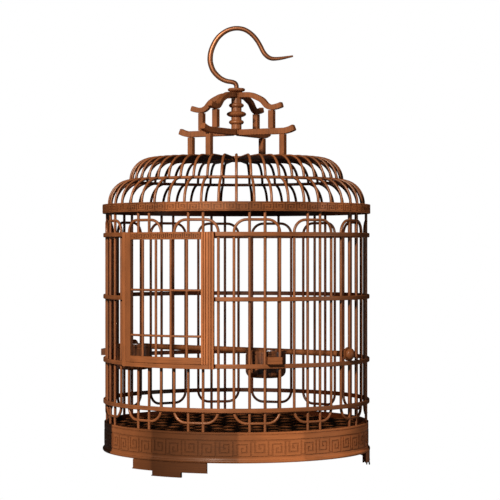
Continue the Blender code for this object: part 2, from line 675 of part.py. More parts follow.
def add_door_grille(slide):
    """Upright bars between the rails, crossed by two bars between the stiles."""
    radius = (DOOR_INNER_R + DOOR_R) / 2
    uprights = []
    for share in GRILLE_BAR_SHARES:
        azimuth = DOOR_AZIMUTH + DOOR_HALF_TURN * share
        uprights.append([polar(radius, azimuth, GRILLE_BOTTOM), polar(radius, azimuth, GRILLE_TOP)])
    grille = add_part("door_grille", tube_mesh(uprights, GRILLE_BAR_R, 1), WOOD, slide)
    crosses = []
    for share in GRILLE_CROSS_SHARES:
        height = DOOR_BOTTOM + (DOOR_TOP - DOOR_BOTTOM) * share
        start, end = DOOR_AZIMUTH - RAIL_HALF_TURN, DOOR_AZIMUTH + RAIL_HALF_TURN
        crosses.append([point + Vector((0.0, 0.0, height)) for point in arc(radius, start, end, 9)])
    combine(grille, "UNION", add_helper("door_cross_bars", tube_mesh(crosses, GRILLE_CROSS_R, 1)))


def cup_profile():
    """Section of a cup: from its floor's middle up the inside, over the rim, down the outside."""
    bottom = CUP_TOP - CUP_HEIGHT
    inner_r = CUP_R - CUP_WALL
    inner_corner = CUP_CORNER - CUP_WALL
    inside, outside = [], []
    for step in range(4):
        bend = math.radians(30 * step)
        out, up = 1 - math.sin(bend), 1 - math.cos(bend)
        inside.append((inner_r - inner_corner * out, bottom + CUP_WALL + inner_corner * up))
        outside.append((CUP_R - CUP_CORNER * out, bottom + CUP_CORNER * up))
    rim = [(inner_r, CUP_TOP), (CUP_R, CUP_TOP)]
    return [(0.0, bottom + CUP_WALL)] + inside + rim + outside[::-1] + [(0.0, bottom)]


def add_cup(name, azimuth):
    """A cup inside the bars, with a wooden clip that hangs on the cup hoop between two bars."""
    centre = polar(CUP_CENTRE_R, azimuth, 0.0)
    lift = add_empty(f"{name}_lift", centre)
    cup = add_turned(name, cup_profile(), CUP_GLAZE, 24, parent=lift)
    cup.location = (0.0, 0.0, 0.0)
    start = CUP_CENTRE_R + CUP_R + GAP
    plate_inner = BAR_RING_R + BAR_RADIUS + GAP
    plate_outer = plate_inner + CLIP_PLATE_THICKNESS
    stem, plate = CLIP_WIDTH / 2, CLIP_PLATE_WIDTH / 2
    outline = [
        (start, -stem), (plate_inner, -stem), (plate_inner, -plate), (plate_outer, -plate),
        (plate_outer, plate), (plate_inner, plate), (plate_inner, stem), (start, stem),
    ]
    plan = [polar(radius, azimuth) + polar(across, azimuth + 90) for radius, across in outline]
    add_part(f"{name}_clip", upright_mesh(plan, CLIP_BOTTOM, CLIP_BOTTOM + CLIP_HEIGHT), WOOD, lift)


def knob_profile(start):
    """Disc, neck and flattened ball at the end of the perch, from the start outwards."""
    disc_end = start + PERCH_DISC_THICKNESS
    neck_end = disc_end + PERCH_NECK_LENGTH
    lean = math.asin(PERCH_NECK_R / PERCH_BALL_R)
    deep = PERCH_BALL_R * PERCH_BALL_SHARE
    centre = neck_end + deep * math.cos(lean)
    ball = []
    for step in range(6):
        bend = math.pi - lean - (math.pi - lean) * step / 5
        ball.append((PERCH_BALL_R * math.sin(bend), centre + deep * math.cos(bend)))
    ball[-1] = (0.0, centre + deep)
    return [(PERCH_DISC_R, start), (PERCH_DISC_R, disc_end), (PERCH_NECK_R, disc_end)] + ball


def lay_along(part, azimuth):
    """Lays a turned piece along a radius at the perch's height."""
    part.rotation_mode = "QUATERNION"
    part.rotation_quaternion = polar(1.0, azimuth).to_track_quat("Z", "Y")
    part.location = (0.0, 0.0, PERCH_Z)


def add_perch():
    """The perch through the cage, with a knob turned on one end and one plugged in the other."""
    far_end = -(PERCH_END_R - GAP)
    bore_end = far_end + SPIGOT_LENGTH + GAP
    bore_r = SPIGOT_R + GAP
    rod_profile = [(PERCH_R, far_end), (bore_r, far_end), (bore_r, bore_end), (0.0, bore_end)]
    rod_profile = rod_profile[::-1] + [(PERCH_R, PERCH_END_R)] + knob_profile(PERCH_END_R)
    rod = add_turned("perch_rod", rod_profile[::-1], WOOD, 16)
    lay_along(rod, PERCH_AZIMUTH)
    spigot_end = PERCH_END_R - SPIGOT_LENGTH
    spigot = [(0.0, spigot_end), (SPIGOT_R, spigot_end), (SPIGOT_R, PERCH_END_R)]
    knob = add_turned("perch_end_knob", (spigot + knob_profile(PERCH_END_R))[::-1], WOOD, 16)
    lay_along(knob, PERCH_AZIMUTH + 180)


def shade_round_pieces():
    """Smooth shading with the real edges kept sharp."""
    for part in cage_parts.objects:
        if part.type == "MESH" and part.data.polygons:
            part.data.shade_smooth()
            part.data.set_sharp_from_angle(angle=math.radians(40))


for foot_name, foot_azimuth in FOOT_AZIMUTHS.items():
    add_foot(f"foot_{foot_name}", foot_azimuth)
add_base_ring()
add_floor_board()
add_panels()
add_hoops()
add_eaves_band()
add_dome()
add_crown()
add_finial()
add_hook()
add_door_frame()
add_door()
add_cup("feed_cup", FEED_CUP_AZIMUTH)
add_cup("water_cup", WATER_CUP_AZIMUTH)
add_perch()
shade_round_pieces()
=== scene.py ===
"""The finish of a round bird cage: bars, rings, carving, door, cups, perch, crown and hook.

Lengths are in metres, azimuths in degrees from the front (-Y) towards +X, and +Z is up.
"""
import math
import random

import bmesh
import bpy
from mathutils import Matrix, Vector


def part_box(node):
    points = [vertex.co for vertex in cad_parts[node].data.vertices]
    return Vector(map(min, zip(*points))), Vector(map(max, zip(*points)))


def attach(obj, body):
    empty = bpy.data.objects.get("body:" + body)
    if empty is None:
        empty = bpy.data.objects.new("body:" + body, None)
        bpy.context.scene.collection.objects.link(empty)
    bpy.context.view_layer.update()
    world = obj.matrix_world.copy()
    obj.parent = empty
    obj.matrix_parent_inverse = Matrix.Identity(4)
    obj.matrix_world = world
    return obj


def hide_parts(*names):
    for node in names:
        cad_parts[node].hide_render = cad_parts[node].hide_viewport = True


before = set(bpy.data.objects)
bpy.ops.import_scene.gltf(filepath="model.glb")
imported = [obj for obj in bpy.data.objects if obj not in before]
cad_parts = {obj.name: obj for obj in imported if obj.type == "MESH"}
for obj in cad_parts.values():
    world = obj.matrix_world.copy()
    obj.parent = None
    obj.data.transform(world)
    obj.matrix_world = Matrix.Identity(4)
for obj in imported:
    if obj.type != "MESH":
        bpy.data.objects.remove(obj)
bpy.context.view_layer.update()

# Base ring. A deep ring bent from strips of bamboo board that butt together, each of its own tone with
# painted light and shade in it, turned true, with a line under its top edge, a sunk band for the carving
# and a bead at its foot. Its inward sides and its sunk band are painted darker as shade.
ring_low, ring_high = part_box("base_ring")
ring_bottom, ring_top = ring_low.z, ring_high.z
floor_low, floor_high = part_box("floor_board")

# A glued seat keeps seat_gap, faces that lie close keep a hair, and rub is how round an edge is.
seat_gap = 0.0003
hair = 0.0001
rub = 0.0006
ring_bead_r = ring_high.x - 0.00001
ring_r = ring_bead_r - 0.002
ring_inner_r = ring_r - 0.0072
ring_line_r = ring_r - 0.0005
ledge_r = ring_inner_r - 0.005
ledge_top = floor_low.z - seat_gap
ledge_bottom = ledge_top - 0.0037
fret_bottom = ring_bottom + 0.0085
fret_top = ring_top - 0.0108
fret_sink = 0.0005
fret_ground_r = ring_r - fret_sink
varnish_tint = (1, 0.76, 0.55, 1)
grain_scales = {
    "upright": (700, 700, 16), "woven": (90, 420, 420), "round": (5, 120, 700), "radial": (110, 22, 22),
}

# Each stave by the azimuth of its far end, then by how light it is at its near and far ends. The tones
# are partly the staves' own and partly painted light and shade: the bright ends towards the right stand
# for light, and the near-black stave at the left is painted shade. The first starts at -180, and
# stave_joint is in degrees.
stave_joint = 0.02
stave_tone_and_light_ends = (
    (-112.0, 0.62, 0.62), (-67.3, 0.05, 0.05), (-36.65, 0.88, 0.3), (0.9, 0.19, 0.375), (28.4, 0.6, 1.2),
    (80.0, 0.9, 1.8), (118.0, 0.3, 0.3), (150.0, 0.8, 0.8), (180.0, 0.62, 0.62),
)


def polar(radius, azimuth, z=0.0):
    """The point at a radius, an azimuth in degrees and a height."""
    turn = math.radians(azimuth)
    return Vector((radius * math.sin(turn), -radius * math.cos(turn), z))


def stained(*depths):
    """Colours of the red-brown stain, each by how light it is."""
    return [(depth, depth * 0.308, depth * 0.096) for depth in depths]


def new_finish(name):
    """A new material, and its nodes."""
    finish = bpy.data.materials.new(name)
    finish.use_nodes = True
    return finish, finish.node_tree.nodes


def fed(node, feeds):
    """Gives each named input of a node a fixed value, or a link from another node's output."""
    for name, source in feeds.items():
        if isinstance(source, bpy.types.NodeSocket):
            node.id_data.links.new(source, node.inputs[name])
        else:
            node.inputs[name].default_value = source


def added(nodes, kind, feeds, operation=None):
    """A new node of a kind, and what is fed to it."""
    node = nodes.new(f"ShaderNode{kind}")
    if operation:
        node.operation = operation
    fed(node, feeds)
    return node


def ranged(nodes, value, low, high, first=0.0, last=1.0):
    """A value that runs from first to last while another runs from low to high."""
    feeds = {"Value": value, "From Min": low, "From Max": high, "To Min": first, "To Max": last}
    return added(nodes, "MapRange", feeds).outputs["Result"]


def ramped(nodes, value, stops):
    """The colours of (position, colour) stops, blended along a value."""
    ramp = added(nodes, "ValToRGB", {"Fac": value})
    marks = ramp.color_ramp.elements
    for index, (position, colour) in enumerate(stops):
        mark = marks[index] if index < 2 else marks.new(position)
        mark.position = position
        mark.color = (*colour, 1)
    return ramp.outputs["Color"]


def mixed(nodes, factor, first, second, blend="MIX"):
    """Two colours blended, or multiplied."""
    mix = added(nodes, "Mix", {})
    mix.data_type = "RGBA"
    mix.blend_type = blend
    fed(mix, {"Factor": factor, "A": first, "B": second})
    return mix.outputs["Result"]


def object_point(nodes):
    """The place of a point in its own object."""
    return added(nodes, "TexCoord", {}).outputs["Object"]


def grain_coordinates(nodes, grain):
    """Coordinates that a wood's fibres are long in: upright, woven, round the axis or out from it."""
    point = object_point(nodes)
    if grain in ("round", "radial"):
        split = added(nodes, "SeparateXYZ", {"Vector": point}).outputs
        turn = added(nodes, "Math", {0: split["X"], 1: split["Y"]}, "ARCTAN2").outputs["Value"]
        reach = added(nodes, "VectorMath", {0: point}, "LENGTH").outputs["Value"]
        point = added(nodes, "CombineXYZ", {"X": turn, "Y": reach, "Z": split["Z"]}).outputs["Vector"]
    return added(nodes, "Mapping", {"Vector": point, "Scale": grain_scales[grain]}).outputs["Vector"]


def painted_inner_shade(nodes, colour, heart, inside):
    """Paints shade on the sides that face in towards a point at a height on the axis, or to the axis."""
    coordinates = added(nodes, "TexCoord", {}).outputs
    from_heart = {0: coordinates["Object"], 1: (1, 1, 1 if heart else 0), 2: (0, 0, -heart)}
    outward = added(nodes, "VectorMath", from_heart, "MULTIPLY_ADD").outputs["Vector"]
    way_out = added(nodes, "VectorMath", {0: outward}, "NORMALIZE").outputs["Vector"]
    facing = added(nodes, "VectorMath", {0: way_out, 1: coordinates["Normal"]}, "DOT_PRODUCT")
    share = ranged(nodes, facing.outputs["Value"], -0.15, 0.55)
    shade = (inside * 1.45, inside * 0.9, inside * 0.55, 1)
    return mixed(nodes, 1.0, colour, mixed(nodes, share, shade, (1, 1, 1, 1)), "MULTIPLY")


def painted_cut_shade(nodes, colour, face_r, cut, dark):
    """Paints shade on what is cut below a round face, darker the deeper it lies."""
    level = added(nodes, "VectorMath", {0: object_point(nodes), 1: (1, 1, 0)}, "MULTIPLY")
    reach = added(nodes, "VectorMath", {0: level.outputs["Vector"]}, "LENGTH").outputs["Value"]
    share = ranged(nodes, reach, face_r - cut, face_r - cut * 0.3, dark)
    return mixed(nodes, 1.0, colour, share, "MULTIPLY")


def stave_tones_and_light(nodes, colour, staves):
    """Multiplies the wood's colour by the tone of each stave, given at its two ends: partly the wood's own
    tone and partly painted light and shade.
    """
    split = added(nodes, "SeparateXYZ", {"Vector": object_point(nodes)}).outputs
    front = added(nodes, "Math", {0: split["Y"], 1: -1.0}, "MULTIPLY").outputs["Value"]
    turn = added(nodes, "Math", {0: split["X"], 1: front}, "ARCTAN2").outputs["Value"]
    stops, start = [], -180.0
    for end, near_tone, far_tone in staves:
        stops += [(start + stave_joint, near_tone), (end - stave_joint, far_tone)]
        start = end
    stops = [((azimuth + 180) / 360, (tone, tone, tone)) for azimuth, tone in stops]
    tones = ramped(nodes, ranged(nodes, turn, -math.pi, math.pi), stops)
    return mixed(nodes, 1.0, colour, tones, "MULTIPLY")


def varnished_wood(
    name, grain, tones, staves=None, shine=0.42, heart=None, inside=0.2, cut_shade=None, gleam=0.25
):
    """Stained and varnished wood: fibres, blotches of stain, and a satin coat over them. Where asked, it
    also takes stave tones with painted light and shade, painted shade on inward sides and in cuts.
    """
    finish, nodes = new_finish(name)
    fibre = {"Vector": grain_coordinates(nodes, grain), "Scale": 1.0, "Detail": 5.0, "Roughness": 0.62}
    fibres = added(nodes, "TexNoise", fibre).outputs["Fac"]
    blotch = {"Vector": object_point(nodes), "Scale": 38.0, "Detail": 3.0}
    blotches = added(nodes, "TexNoise", blotch).outputs["Fac"]
    stain = added(nodes, "Mix", {"Factor": 0.42, "A": fibres, "B": blotches}).outputs["Result"]
    colour = ramped(nodes, stain, zip((0.3, 0.46, 0.68), tones))
    if staves:
        colour = stave_tones_and_light(nodes, colour, staves)
    if heart is not None:
        colour = painted_inner_shade(nodes, colour, heart, inside)
    if cut_shade:
        colour = painted_cut_shade(nodes, colour, *cut_shade)
    bump = added(nodes, "Bump", {"Strength": 0.35, "Distance": 0.0003, "Height": fibres})
    fed(nodes["Principled BSDF"], {
        "Base Color": colour,
        "Roughness": ranged(nodes, stain, 0.3, 0.7, shine + 0.12, shine - 0.04),
        "Normal": bump.outputs["Normal"],
        "Specular IOR Level": gleam,
        "Specular Tint": varnish_tint,
        "Coat Weight": 0.05,
        "Coat Roughness": 0.25,
    })
    return finish


def place(piece, finish, body, slot, *stands_for):
    """Puts a finished piece on its body, in place of the CAD nodes it stands for."""
    if piece.name not in bpy.context.scene.collection.objects:
        bpy.context.scene.collection.objects.link(piece)
    piece.data.materials.clear()
    piece.data.materials.append(finish)
    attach(piece, body)
    if stands_for:
        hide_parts(*stands_for)


def finished(name, shape, sharp=38):
    """An object of a shape that is ready, its round faces smooth."""
    bmesh.ops.recalc_face_normals(shape, faces=shape.faces)
    mesh = bpy.data.meshes.new(name)
    shape.to_mesh(mesh)
    shape.free()
    mesh.shade_smooth()
    mesh.set_sharp_from_angle(angle=math.radians(sharp))
    return bpy.data.objects.new(name, mesh)


def turned(name, profile, segments):
    """A piece turned about the Z axis from (radius, height) points, closed where they close."""
    shape = bmesh.new()
    points = [shape.verts.new((radius, 0, height)) for radius, height in profile]
    cut = points + [shape.edges.new(pair) for pair in zip(points, points[1:])]
    bmesh.ops.spin(shape, geom=cut, axis=(0, 0, 1), cent=(0, 0, 0), angle=math.tau, steps=segments)
    bmesh.ops.remove_doubles(shape, verts=shape.verts, dist=0.00001)
    bmesh.ops.holes_fill(shape, edges=[edge for edge in shape.edges if edge.is_boundary])
    return finished(name, shape)


ring_cut_shade = (ring_r, fret_sink, 0.79)
ring_wood = varnished_wood(
    "ring_wood", "round", stained(0.32, 0.42, 0.54), staves=stave_tone_and_light_ends, heart=0, cut_shade=ring_cut_shade
)
ring_profile = [
    (ring_r - rub, ring_top), (ring_r, ring_top - rub), (ring_r, ring_top - 0.0022),
    (ring_line_r, ring_top - 0.0024), (ring_line_r, ring_top - 0.0032), (ring_r, ring_top - 0.0034),
    (ring_r, fret_top + 0.0021), (fret_ground_r, fret_top + 0.0018),
    (fret_ground_r, fret_bottom - 0.0018), (ring_r, fret_bottom - 0.0021),
    (ring_r, ring_bottom + 0.0042), (ring_r + rub, ring_bottom + 0.0034),
    (ring_bead_r - 0.0004, ring_bottom + 0.0032), (ring_bead_r, ring_bottom + 0.0024),
    (ring_bead_r, ring_bottom + 0.0008), (ring_bead_r - rub, ring_bottom), (ring_inner_r, ring_bottom),
    (ring_inner_r, ledge_bottom), (ledge_r, ledge_bottom), (ledge_r, ledge_top), (ring_inner_r, ledge_top),
    (ring_inner_r, ring_top - 0.0004), (ring_inner_r + 0.0004, ring_top), (ring_r - rub, ring_top),
]
place(turned("ring_turned", ring_profile, 180), ring_wood, "cage", "varnished_wood", "base_ring")

# Carved frets. A square spiral that turns over from one to the next is left standing in a sunk
# band: large round the base ring, small round the eaves band and along the door's top rail.
fret_margin = 0.06
fret_shares = (
    (0.06, 0.04), (0.06, 0.93), (0.93, 0.93), (0.93, 0.07), (0.33, 0.07),
    (0.33, 0.65), (0.66, 0.65), (0.66, 0.36), (0.5, 0.36),
)
fret_chord = 0.005
fret_root = 0.0003


def skin(shape, rows):
    """Faces from each row of corners to the next, and over the first row and the last."""
    count = len(rows[0])
    for first, second in zip(rows, rows[1:]):
        for corner in range(count):
            beside = (corner + 1) % count
            shape.faces.new((first[corner], second[corner], second[beside], first[beside]))
    shape.faces.new(rows[0])
    shape.faces.new(rows[-1][::-1])


def fret_line(shape, line, radius, relief, half_width):
    """One standing line of the carving, along (azimuth, height) points with mitred corners."""
    per_degree = math.radians(radius)
    flat = [Vector((azimuth * per_degree, height)) for azimuth, height in line]
    sides = ([], [])
    for index, here in enumerate(flat):
        before = (here - flat[index - 1]).normalized() if index else None
        after = (flat[index + 1] - here).normalized() if index < len(flat) - 1 else None
        way_in = before or after
        way_out = after or before
        left = Vector((-way_in.y, way_in.x)) + Vector((-way_out.y, way_out.x))
        left = left.normalized() * half_width / max(0.5, left.length / 2)
        sides[0].append(here + left)
        sides[1].append(here - left)
    stops = [(sides[0][0], sides[1][0])]
    for index in range(1, len(flat)):
        steps = max(1, round((flat[index] - flat[index - 1]).length / fret_chord))
        for step in range(1, steps + 1):
            stops.append([side[index - 1].lerp(side[index], step / steps) for side in sides])
    low, high = radius - relief, radius
    rows = []
    for left, right in stops:
        corners = ((left, low), (left, high), (right, high), (right, low))
        rows.append([shape.verts.new(polar(deep, spot.x / per_degree, spot.y)) for spot, deep in corners])
    skin(shape, rows)


def carve_fret(name, radius, low, high, start, count, pitch, relief, half_width):
    """A row of square spirals, each one the last turned over."""
    shape = bmesh.new()
    for unit in range(count):
        line = []
        for along, up in fret_shares:
            if unit % 2:
                up = 1 - up
            share = fret_margin + (1 - 2 * fret_margin) * along
            line.append((start + pitch * (unit + share), low + (high - low) * up))
        fret_line(shape, line, radius, relief, half_width)
    return finished(name, shape)


ring_fret_count = 50
ring_fret_start = -1.2
ring_fret_half_width = 0.0015
ring_fret = carve_fret(
    "ring_fret", ring_r + hair, fret_bottom, fret_top, ring_fret_start, ring_fret_count,
    360 / ring_fret_count, fret_sink + fret_root, ring_fret_half_width,
)
place(ring_fret, ring_wood, "cage", "varnished_wood")

# Feet. Three curved boards, stepped at both ends, glued up under the ring. Their lower edges are
# run out a little and scored along the middle.
foot_top = ring_bottom - seat_gap
foot_face_r = ring_bead_r - 0.0004
foot_inner_r = ring_bead_r - 0.0047
foot_middle_r = (ring_bead_r + foot_inner_r) / 2
foot_lip = 0.0013
foot_step = 0.006
foot_half_turn = 17.9
foot_middle_turn = 6.8
foot_azimuths = {"foot_front_left": -29.9, "foot_right": 90.1, "foot_back": 210.1}
foot_blocks = (
    (-foot_half_turn, -foot_middle_turn, foot_step),
    (-foot_middle_turn, foot_middle_turn, 0.0),
    (foot_middle_turn, foot_half_turn, foot_step),
)
spur_turn = math.degrees(0.0009 / ring_bead_r)
# The feet take the base ring's stave tones, with their painted light and shade, and painted shade on their
# inward sides.
foot_wood = varnished_wood("foot_wood", "round", stained(0.24, 0.32, 0.4), staves=stave_tone_and_light_ends, heart=0)


def bent_bar(shape, section, start, end, steps):
    """A closed (radius, height) section swept round the axis from one azimuth to another."""
    rows = []
    for step in range(steps + 1):
        azimuth = start + (end - start) * step / steps
        rows.append([shape.verts.new(polar(radius, azimuth, height)) for radius, height in section])
    skin(shape, rows)


def foot_section(bottom):
    """A block of a foot: a lip along each lower edge and a V groove between them."""
    return [
        (foot_face_r, foot_top), (foot_face_r, bottom + 0.0014), (ring_bead_r, bottom + 0.0012),
        (ring_bead_r, bottom), (ring_bead_r - foot_lip, bottom), (foot_middle_r, bottom + 0.0042),
        (foot_inner_r + foot_lip, bottom), (foot_inner_r, bottom), (foot_inner_r, foot_top),
    ]


def foot_spur(bottom):
    """The lip alone, which runs out past the block's end to a small point."""
    top, inner_r = bottom + 0.0011, ring_bead_r - foot_lip
    return [(ring_bead_r, top), (ring_bead_r, bottom), (inner_r, bottom), (inner_r, top)]


for foot, foot_azimuth in foot_azimuths.items():
    shape = bmesh.new()
    for start, end, bottom in foot_blocks:
        bent_bar(shape, foot_section(bottom), foot_azimuth + start, foot_azimuth + end, 6)
        for side, edge in ((-1, start), (1, end)):
            if bottom == 0.0 or abs(edge) == foot_half_turn:
                turns = sorted((edge, edge + side * spur_turn))
                bent_bar(shape, foot_spur(bottom), foot_azimuth + turns[0], foot_azimuth + turns[1], 1)
    place(finished(f"{foot}_board", shape), foot_wood, "cage", "varnished_wood", foot)

# Floor. Strips of dark split cane, woven over and under the cords that tie them and laid
# on the ring's ledge.
floor_r = floor_high.x
strip_count = 17
strip_gap = 0.0012
strip_thickness = 0.0022
strip_edge_drop, strip_crown_drop = 0.0009, 0.0002
strip_chord = 0.0022
strip_wave = 0.0009
strip_sway = 0.0022
strip_end_gap = 0.002
weave_pitch = 0.034
sway_pitch = 0.057
floor_random = random.Random(7)


def cane_darker_low(name):
    """Dark split cane, its colour darkened from the crests down to near black low in the weave."""
    finish = varnished_wood(name, "woven", stained(0.1, 0.24, 0.4), shine=0.6)
    nodes = finish.node_tree.nodes
    shader = nodes["Principled BSDF"]
    height = added(nodes, "SeparateXYZ", {"Vector": object_point(nodes)}).outputs["Z"]
    # The cane's colour is darkened from its crests down to near black low in the weave.
    crest = ranged(nodes, height, floor_high.z - 0.0002, floor_high.z + 0.0008, 0.01, 1.0)
    colour = shader.inputs["Base Color"].links[0].from_socket
    darkened_low = mixed(nodes, 1.0, colour, crest, "MULTIPLY")
    fed(shader, {"Base Color": darkened_low, "Specular IOR Level": 0.08, "Coat Weight": 0.0})
    return finish


def cane_strip(shape, middle, width, half_length, phase):
    """One strip across the floor, waving over and under the cords."""
    steps = max(6, round(half_length / strip_chord))
    rows = []
    for step in range(steps + 1):
        along = -half_length + 2 * half_length * step / steps
        top = floor_high.z + strip_wave * math.sin(math.tau * along / weave_pitch + phase)
        sway = strip_sway * math.sin(math.tau * along / sway_pitch + phase * 1.7)
        sway *= 1 - (along / half_length) ** 4
        low, edge, crown = top - strip_thickness, top - strip_edge_drop, top - strip_crown_drop
        corners = ((-0.5, low), (0.5, low), (0.5, edge), (0.25, crown), (-0.25, crown), (-0.5, edge))
        rows.append([shape.verts.new((along, middle + width * side + sway, z)) for side, z in corners])
    skin(shape, rows)


def lay_floor(name):
    """All the strips of the floor, as one mat."""
    shape = bmesh.new()
    pitch = 2 * floor_r / strip_count
    for index in range(strip_count):
        middle = -floor_r + pitch * (index + 0.5)
        edge = abs(middle) + pitch / 2
        half_length = math.sqrt(max(0.0, floor_r ** 2 - edge ** 2))
        if half_length > pitch:
            phase = math.pi * index + floor_random.uniform(-0.7, 0.7)
            cane_strip(shape, middle, pitch - strip_gap, half_length - strip_end_gap, phase)
    return finished(name, shape, 50)


place(lay_floor("floor_mat"), cane_darker_low("floor_cane"), "cage", "dark_wood", "floor_board")

# Bars. Bamboo split and drawn round. In each group of four the outer two are one bent loop, and
# the inner two run through it, so that round-shouldered arches stand side by side.
panel_count = 14
bars_in_panel = 4
first_panel = 8.643
bar_r = 0.0017
bar_ring_r = ring_r - 0.0028
bar_step = 360 / (panel_count * bars_in_panel)
eaves_low, eaves_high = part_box("eaves_band")
loop_bottom = ring_top + 0.0099
loop_top = eaves_low.z - 0.0098
loop_corner = 0.015
loop_half_turn = bar_step * (bars_in_panel - 1) / 2
loop_corner_turn = math.degrees(loop_corner / bar_ring_r)
cut_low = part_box("cup_hoop")[1].z
cut_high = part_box("upper_hoop")[0].z
door_azimuth = -30.73
door_half_turn = 19.62
cut_margin = 2
# The bars' sides that face into the cage are painted darker as shade.
bar_wood = varnished_wood(
    "bar_wood", "upright", stained(0.12, 0.235, 0.35), shine=0.38, heart=0, inside=0.24, gleam=0.6
)


def rod(name, paths, radius, closed=False, sides=4, taper=None):
    """Round rod along each path."""
    curve = bpy.data.curves.new(name, "CURVE")
    curve.dimensions = "3D"
    curve.bevel_depth = radius
    curve.bevel_resolution = sides
    curve.use_fill_caps = True
    for path in paths:
        spline = curve.splines.new("POLY")
        spline.points.add(len(path) - 1)
        for index, point in enumerate(path):
            spline.points[index].co = (*point, 1)
            if taper:
                spline.points[index].radius = taper[index]
        spline.use_cyclic_u = closed
    return bpy.data.objects.new(name, curve)


def bends(start, end, steps):
    """Angles in radians, evenly spaced from one in degrees to another."""
    return [math.radians(start + (end - start) * step / steps) for step in range(steps + 1)]


def is_cut(azimuth):
    """Whether a bar is one of those cut away behind the door."""
    return abs(azimuth - door_azimuth) < door_half_turn - cut_margin


def shoulder(azimuth, side, end, inward):
    """The round corner of a loop, from its leg to its level run."""
    points = []
    for bend in bends(0, 90, 8):
        turn = side * (loop_half_turn - loop_corner_turn * (1 - math.cos(bend)))
        points.append(polar(bar_ring_r, azimuth + turn, end + inward * loop_corner * (1 - math.sin(bend))))
    return points


def level_run(azimuth, side, height):
    """The level run of a loop between its two corners."""
    reach = side * (loop_half_turn - loop_corner_turn)
    return [polar(bar_ring_r, azimuth + reach * (1 - third / 3), height) for third in range(1, 6)]


def panel_paths(azimuth):
    """The paths of a panel's rods, and whether its loop is whole."""
    arch = shoulder(azimuth, -1, loop_top, -1) + level_run(azimuth, -1, loop_top)
    arch += shoulder(azimuth, 1, loop_top, -1)[::-1]
    foot = shoulder(azimuth, 1, loop_bottom, 1) + level_run(azimuth, 1, loop_bottom)
    foot += shoulder(azimuth, -1, loop_bottom, 1)[::-1]
    left, right = azimuth - loop_half_turn, azimuth + loop_half_turn
    if is_cut(left):
        loop = [polar(bar_ring_r, left, cut_high)] + arch + foot + [polar(bar_ring_r, left, cut_low)]
    elif is_cut(right):
        loop = [polar(bar_ring_r, right, cut_low)] + foot + arch + [polar(bar_ring_r, right, cut_high)]
    else:
        loop = arch + foot
    straight = []
    for side in (-1, 1):
        line = azimuth + side * bar_step / 2
        low, high = ring_top + hair, eaves_low.z - hair
        stops = [low, cut_low, cut_high, high] if is_cut(line) else [low, high]
        for start, end in zip(stops[::2], stops[1::2]):
            straight.append([polar(bar_ring_r, line, start), polar(bar_ring_r, line, end)])
    return loop, straight, not (is_cut(left) or is_cut(right))


for number in range(panel_count):
    panel_azimuth = (first_panel + number * 360 / panel_count + 180) % 360 - 180
    loop_path, straight_paths, whole = panel_paths(panel_azimuth)
    panel = f"grille_panel_{number + 1:02d}"
    bent_loop = rod(f"bent_loop_{number + 1:02d}", [loop_path], bar_r, closed=whole)
    place(bent_loop, bar_wood, "cage", "varnished_wood", panel)
    straight_bars = rod(f"straight_bars_{number + 1:02d}", straight_paths, bar_r)
    place(straight_bars, bar_wood, "cage", "varnished_wood", panel)

# Hoops. Flat strips of bamboo bent round outside the bars and tied to them. The middle one stops
# at the door, and the others run all the way round.
hoop_outer_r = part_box("lower_hoop")[1].x
hoop_inner_r = hoop_outer_r - 0.00205
hoop_rub = 0.0005
hoop_gap_half = door_half_turn + 1.2
# Sides that face in to the axis are painted darker as shade.
hoop_wood = varnished_wood(
    "hoop_wood", "round", stained(0.12, 0.235, 0.365), heart=0, inside=0.16, gleam=0.45
)
for hoop in ("lower_hoop", "cup_hoop", "middle_hoop", "upper_hoop"):
    low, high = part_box(hoop)
    section = [
        (hoop_outer_r - hoop_rub, high.z), (hoop_outer_r, high.z - hoop_rub),
        (hoop_outer_r + hair, (low.z + high.z) / 2), (hoop_outer_r, low.z + hoop_rub),
        (hoop_outer_r - hoop_rub, low.z), (hoop_inner_r, low.z), (hoop_inner_r, high.z),
    ]
    if hoop == "middle_hoop":
        shape = bmesh.new()
        bent_bar(shape, section, door_azimuth + hoop_gap_half, door_azimuth + 360 - hoop_gap_half, 150)
        bent = finished("hoop_middle_strip", shape)
    else:
        bent = turned(f"{hoop}_strip", section + section[:1], 168)
    place(bent, hoop_wood, "cage", "varnished_wood", hoop)

# Eaves band. A ring bent from staves, as the base ring is, and carved with small frets. The bars
# are pegged into it from below and the ribs from above.
eaves_r = eaves_high.x
eaves_inner_r = bar_ring_r - 0.0046
eaves_sink = 0.0006
eaves_ground_r = eaves_r - eaves_sink
eaves_rub = 0.0005
eaves_lip, eaves_lip_foot = 0.0013, 0.0016
# Each stave of the eaves band by its far end and its tone at both ends: partly its own tone and partly
# painted light and shade, the bright staves to the right standing for light. The band's inward sides and
# the sunk ground of its frets are painted darker as shade.
eaves_stave_tone_and_light_ends = (
    (-104.0, 0.8, 0.8), (-30.0, 0.72, 0.72), (-3.0, 0.94, 0.94), (35.5, 0.58, 0.7), (57.0, 1.0, 2.1),
    (84.0, 2.4, 2.4), (108.0, 0.25, 0.25), (180.0, 0.8, 0.8),
)
eaves_wood = varnished_wood(
    "eaves_wood", "round", stained(0.14, 0.3, 0.44), staves=eaves_stave_tone_and_light_ends, heart=0, inside=0.16,
    cut_shade=(eaves_r, eaves_sink, 0.6),
)
eaves_profile = [
    (eaves_r - eaves_rub, eaves_high.z), (eaves_r, eaves_high.z - eaves_rub),
    (eaves_r, eaves_high.z - eaves_lip), (eaves_ground_r, eaves_high.z - eaves_lip_foot),
    (eaves_ground_r, eaves_low.z + eaves_lip_foot), (eaves_r, eaves_low.z + eaves_lip),
    (eaves_r, eaves_low.z + eaves_rub), (eaves_r - eaves_rub, eaves_low.z),
    (eaves_inner_r, eaves_low.z), (eaves_inner_r, eaves_high.z), (eaves_r - eaves_rub, eaves_high.z),
]
